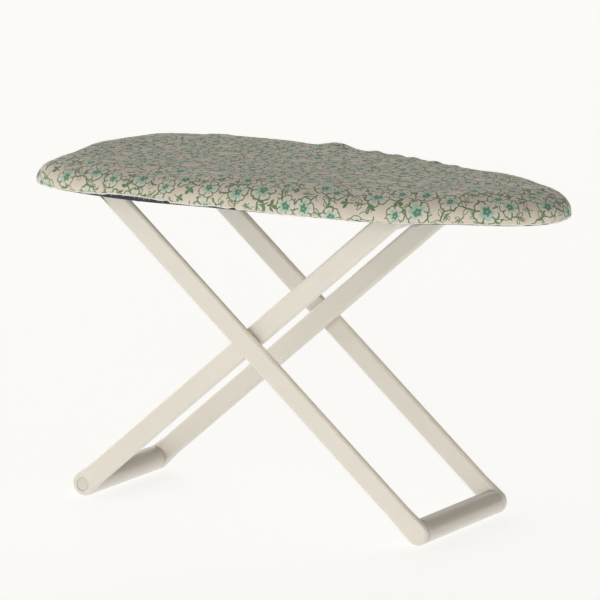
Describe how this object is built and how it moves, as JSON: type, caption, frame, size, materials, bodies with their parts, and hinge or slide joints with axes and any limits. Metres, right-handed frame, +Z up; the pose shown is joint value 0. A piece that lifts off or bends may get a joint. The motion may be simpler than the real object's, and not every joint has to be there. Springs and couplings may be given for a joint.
{
  "type": "doll's-size folding ironing board",
  "caption": "Small folding ironing board on crossed scissor legs, with a padded cloth-covered top and round foot bars.",
  "frame": {"origin": "on the surface the board stands on, under the middle of the board", "axes": "+X from the square tail to the tapered nose, +Y across the board, +Z up"},
  "size_m": [0.142, 0.0706, 0.0885],
  "materials": {
    "cream_paint": "satin cream paint",
    "navy_board": "thin fibreboard painted dark navy",
    "wadding": "soft off-white wadding",
    "printed_cotton": "plain-weave cotton, pinkish beige with a small green floral print",
    "plain_steel": "plain bright steel"
  },
  "bodies": {
    "board": {"base_panel": "navy_board", "foam_pad": "wadding", "fabric_cover": "printed_cotton", "hinge_bracket_near": "plain_steel", "hinge_bracket_far": "plain_steel", "bracket_rivet_near_tail": "plain_steel", "bracket_rivet_near_nose": "plain_steel", "bracket_rivet_far_tail": "plain_steel", "bracket_rivet_far_nose": "plain_steel", "slide_track": "plain_steel", "track_rivet_tail": "plain_steel", "track_rivet_nose": "plain_steel"},
    "outer_leg_frame": {"outer_bar_near": "cream_paint", "outer_bar_far": "cream_paint", "outer_foot_tube": "cream_paint", "outer_foot_rod": "cream_paint", "outer_hinge_rod": "plain_steel", "pivot_pin_near": "cream_paint", "pivot_pin_far": "cream_paint"},
    "inner_leg_frame": {"inner_bar_near": "cream_paint", "inner_bar_far": "cream_paint", "inner_foot_tube": "cream_paint", "inner_foot_rod": "cream_paint", "inner_slide_rod": "cream_paint"},
    "slide_shoe": {"slide_shoe": "plain_steel"}
  },
  "joints": [
    {"name": "outer_leg_fold", "type": "hinge", "parent": "board", "child": "outer_leg_frame", "pos_m": [-0.04743, 0, 0.079], "axis": [0, -1, 0], "range_deg": [0, 38]},
    {"name": "inner_leg_fold", "type": "hinge", "parent": "outer_leg_frame", "child": "inner_leg_frame", "pos_m": [-0.0093, 0, 0.04621], "axis": [0, 1, 0], "range_deg": [0, 76]},
    {"name": "slide_shoe_turn", "type": "hinge", "parent": "inner_leg_frame", "child": "slide_shoe", "pos_m": [0.02883, 0, 0.079], "axis": [0, -1, 0], "range_deg": [0, 38]}
  ],
  "couplings": [
    {"joint": "inner_leg_fold", "follows": "outer_leg_fold", "ratio": 2},
    {"joint": "slide_shoe_turn", "follows": "outer_leg_fold", "ratio": 1}
  ]
}
